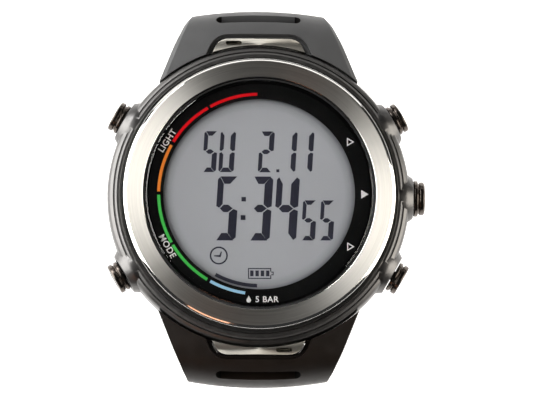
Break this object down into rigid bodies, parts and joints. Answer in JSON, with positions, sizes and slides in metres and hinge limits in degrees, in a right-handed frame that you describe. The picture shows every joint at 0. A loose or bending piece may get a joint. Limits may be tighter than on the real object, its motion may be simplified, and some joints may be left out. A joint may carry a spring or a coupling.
{
  "type": "dive computer",
  "caption": "Round wrist dive computer: metal case, brushed bezel, digital display, push buttons and a resin strap with a tongue buckle, hanging open.",
  "frame": {"origin": "middle of the case back's outer face, where it rests on the wrist", "axes": "+Z out of the display, +Y to twelve o'clock, +X to three o'clock"},
  "size_m": [0.0531, 0.063, 0.0781],
  "materials": {
    "case_steel": "dark polished stainless steel",
    "bezel_steel": "stainless steel, brushed in circles, with a polished outer edge",
    "back_steel": "brushed stainless steel",
    "button_steel": "satin stainless steel with polished edges",
    "link_steel": "polished stainless steel",
    "buckle_steel": "satin stainless steel",
    "screw_steel": "turned stainless steel",
    "spring_steel": "spring steel",
    "battery_steel": "nickel-plated steel",
    "gilt_contact": "gold-plated contact metal",
    "upper_resin": "satin grey polyurethane resin",
    "lower_resin": "satin black polyurethane resin",
    "keeper_resin": "satin black polyurethane resin",
    "seal_rubber": "nitrile rubber",
    "crystal_glass": "clear mineral glass",
    "dial_black": "black plastic ring with printed arcs, arrowheads and words",
    "lcd_glass": "reflective liquid crystal display, bluish grey with dark segments",
    "backlight_film": "electroluminescent film",
    "frame_plastic": "moulded glass-filled nylon",
    "board_laminate": "green epoxy laminate",
    "chip_black": "black moulding compound"
  },
  "bodies": {
    "case": {"case_body": "case_steel", "bezel": "bezel_steel", "bezel_gasket": "seal_rubber", "crystal": "crystal_glass", "crystal_gasket": "seal_rubber", "dial_ring": "dial_black", "lcd_panel": "lcd_glass", "backlight_panel": "backlight_film", "lcd_connector_upper": "seal_rubber", "lcd_connector_lower": "seal_rubber", "circuit_board": "board_laminate", "controller_chip": "chip_black", "quartz_can": "screw_steel", "contact_plate": "gilt_contact", "module_frame": "frame_plastic", "battery": "battery_steel", "battery_contact": "gilt_contact", "pressure_sensor_seal": "seal_rubber", "pressure_sensor": "screw_steel", "buzzer_disc": "gilt_contact", "buzzer_spring": "gilt_contact", "case_back": "back_steel", "case_back_gasket": "seal_rubber", "case_back_screw_1": "screw_steel", "case_back_screw_2": "screw_steel", "case_back_screw_3": "screw_steel", "case_back_screw_4": "screw_steel", "light_button_spring": "spring_steel", "light_button_seal": "seal_rubber", "mode_button_spring": "spring_steel", "mode_button_seal": "seal_rubber", "up_button_spring": "spring_steel", "up_button_seal": "seal_rubber", "start_button_spring": "spring_steel", "start_button_seal": "seal_rubber", "down_button_spring": "spring_steel", "down_button_seal": "seal_rubber"},
    "light_button": {"light_button": "button_steel", "light_button_clip": "spring_steel"},
    "mode_button": {"mode_button": "button_steel", "mode_button_clip": "spring_steel"},
    "up_button": {"up_button": "button_steel", "up_button_clip": "spring_steel"},
    "start_button": {"start_button": "button_steel", "start_button_clip": "spring_steel"},
    "down_button": {"down_button": "button_steel", "down_button_clip": "spring_steel"},
    "battery_hatch": {"battery_hatch": "back_steel", "hatch_seal": "seal_rubber"},
    "strap_upper": {"strap_upper": "upper_resin", "end_link_upper": "link_steel", "strap_pin_upper": "screw_steel", "fixed_keeper": "keeper_resin", "buckle_bar": "screw_steel"},
    "strap_lower": {"strap_lower": "lower_resin", "end_link_lower": "link_steel", "strap_pin_lower": "screw_steel"},
    "sliding_keeper": {"sliding_keeper": "keeper_resin"},
    "buckle_frame": {"buckle_frame": "buckle_steel"},
    "buckle_tongue": {"buckle_tongue": "buckle_steel"}
  },
  "joints": [
    {"name": "light_button_press", "type": "slide", "parent": "case", "child": "light_button", "axis": [0.866, -0.5, 0], "range_m": [0, 0.001], "stiffness_N_per_m": 400, "springref_m": -0.0015, "deforming": ["light_button_spring"]},
    {"name": "mode_button_press", "type": "slide", "parent": "case", "child": "mode_button", "axis": [0.866, 0.5, 0], "range_m": [0, 0.001], "stiffness_N_per_m": 400, "springref_m": -0.0015, "deforming": ["mode_button_spring"]},
    {"name": "up_button_press", "type": "slide", "parent": "case", "child": "up_button", "axis": [-0.866, -0.5, 0], "range_m": [0, 0.001], "stiffness_N_per_m": 400, "springref_m": -0.0015, "deforming": ["up_button_spring"]},
    {"name": "start_button_press", "type": "slide", "parent": "case", "child": "start_button", "axis": [-1, 0, 0], "range_m": [0, 0.001], "stiffness_N_per_m": 400, "springref_m": -0.0015, "deforming": ["start_button_spring"]},
    {"name": "down_button_press", "type": "slide", "parent": "case", "child": "down_button", "axis": [-0.866, 0.5, 0], "range_m": [0, 0.001], "stiffness_N_per_m": 400, "springref_m": -0.0015, "deforming": ["down_button_spring"]},
    {"name": "battery_hatch_twist", "type": "hinge", "parent": "case", "child": "battery_hatch", "pos_m": [0, 0, 0.0013], "axis": [0, 0, -1], "range_deg": [0, 60]},
    {"name": "strap_upper_pivot", "type": "hinge", "parent": "case", "child": "strap_upper", "pos_m": [0, 0.0236, 0.0056], "axis": [1, 0, 0], "range_deg": [-3, 4]},
    {"name": "strap_lower_pivot", "type": "hinge", "parent": "case", "child": "strap_lower", "pos_m": [0, -0.0236, 0.0056], "axis": [-1, 0, 0], "range_deg": [-3, 4]},
    {"name": "sliding_keeper_slide", "type": "slide", "parent": "strap_upper", "child": "sliding_keeper", "axis": [0, -0.9659, -0.2588], "range_m": [-0.0048, 0.001]},
    {"name": "buckle_frame_pivot", "type": "hinge", "parent": "strap_upper", "child": "buckle_frame", "pos_m": [0, -0.00076, -0.03972], "axis": [1, 0, 0], "range_deg": [-45, 45]},
    {"name": "buckle_tongue_pivot", "type": "hinge", "parent": "buckle_frame", "child": "buckle_tongue", "pos_m": [0, -0.00076, -0.03972], "axis": [1, 0, 0], "range_deg": [0, 45]}
  ]
}
